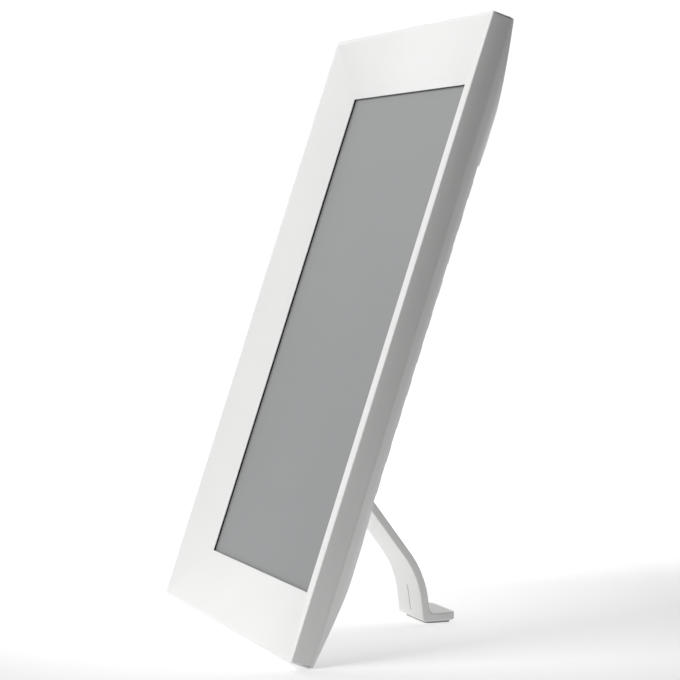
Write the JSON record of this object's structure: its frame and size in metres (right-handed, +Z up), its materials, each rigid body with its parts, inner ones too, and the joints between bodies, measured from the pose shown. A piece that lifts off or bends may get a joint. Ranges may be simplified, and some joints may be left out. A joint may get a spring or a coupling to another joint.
{
  "type": "digital photo frame",
  "caption": "Portrait digital photo frame with a sunken sloping bezel, grey LCD screen, ribbed back and a hinged fold-out leg.",
  "frame": {"origin": "on the table, midway along the footprint in X and Y", "axes": "+Z up, the screen faces -Y and leans back, +X to the viewer's right"},
  "size_m": [0.189, 0.1016, 0.2582],
  "materials": {
    "white_abs": "moulded white ABS, fine satin gloss",
    "white_buttons": "moulded white ABS caps",
    "screen_cell": "anti-glare polariser over thin glass, switched off",
    "black_foam": "die-cut black foam",
    "film_stack": "diffuser and prism films",
    "clear_acrylic": "light guide acrylic",
    "sheet_steel": "galvanised sheet",
    "circuit_board": "green solder mask on glass-epoxy",
    "chip_black": "moulded epoxy packages",
    "socket_metal": "tinned socket shells",
    "jack_black": "black nylon body",
    "cable_film": "flat flexible cable",
    "speaker_black": "speaker basket and cone",
    "screw_steel": "zinc-plated screws",
    "pin_steel": "ground steel pin",
    "pad_rubber": "black rubber pad"
  },
  "bodies": {
    "case": {"backlight_tray": "sheet_steel", "board_screws": "screw_steel", "bracket_screws": "screw_steel", "button_board": "circuit_board", "button_board_screws": "screw_steel", "button_cable": "cable_film", "card_socket": "socket_metal", "case_screws": "screw_steel", "dc_jack": "jack_black", "diffuser_films": "film_stack", "display_cable": "cable_film", "friction_washers": "pin_steel", "front_frame": "white_abs", "hinge_pin": "pin_steel", "lcd_cell": "screen_cell", "led_bar": "circuit_board", "left_speaker": "speaker_black", "light_guide": "clear_acrylic", "link_cable": "cable_film", "lower_bracket": "sheet_steel", "main_board": "circuit_board", "memory_chips": "chip_black", "panel_gasket": "black_foam", "port_board": "circuit_board", "port_board_screw": "screw_steel", "power_coil": "chip_black", "processor": "chip_black", "rear_cover": "white_abs", "right_speaker": "speaker_black", "tact_switches": "chip_black", "upper_bracket": "sheet_steel", "usb_socket": "socket_metal"},
    "leg_arm": {"leg": "white_abs", "foot_pad": "pad_rubber"},
    "down_button_body": {"down_button": "white_buttons"},
    "up_button_body": {"up_button": "white_buttons"},
    "left_button_body": {"left_button": "white_buttons"},
    "right_button_body": {"right_button": "white_buttons"},
    "menu_button_body": {"menu_button": "white_buttons"},
    "power_button_body": {"power_button": "white_buttons"}
  },
  "joints": [
    {"name": "leg_fold", "type": "hinge", "parent": "case", "child": "leg_arm", "pos_m": [0, -0.00445, 0.07601], "axis": [-1, 0, 0], "range_deg": [0, 52]},
    {"name": "down_press", "type": "slide", "parent": "case", "child": "down_button_body", "axis": [0, -0.9455, 0.3256], "range_m": [0, 0.0005], "stiffness_N_per_m": 1200, "springref_m": -0.0003},
    {"name": "up_press", "type": "slide", "parent": "case", "child": "up_button_body", "axis": [0, -0.9455, 0.3256], "range_m": [0, 0.0005], "stiffness_N_per_m": 1200, "springref_m": -0.0003},
    {"name": "left_press", "type": "slide", "parent": "case", "child": "left_button_body", "axis": [0, -0.9455, 0.3256], "range_m": [0, 0.0005], "stiffness_N_per_m": 1200, "springref_m": -0.0003},
    {"name": "right_press", "type": "slide", "parent": "case", "child": "right_button_body", "axis": [0, -0.9455, 0.3256], "range_m": [0, 0.0005], "stiffness_N_per_m": 1200, "springref_m": -0.0003},
    {"name": "menu_press", "type": "slide", "parent": "case", "child": "menu_button_body", "axis": [0, -0.9455, 0.3256], "range_m": [0, 0.0005], "stiffness_N_per_m": 1200, "springref_m": -0.0003},
    {"name": "power_press", "type": "slide", "parent": "case", "child": "power_button_body", "axis": [0, -0.9455, 0.3256], "range_m": [0, 0.0005], "stiffness_N_per_m": 1200, "springref_m": -0.0003}
  ]
}
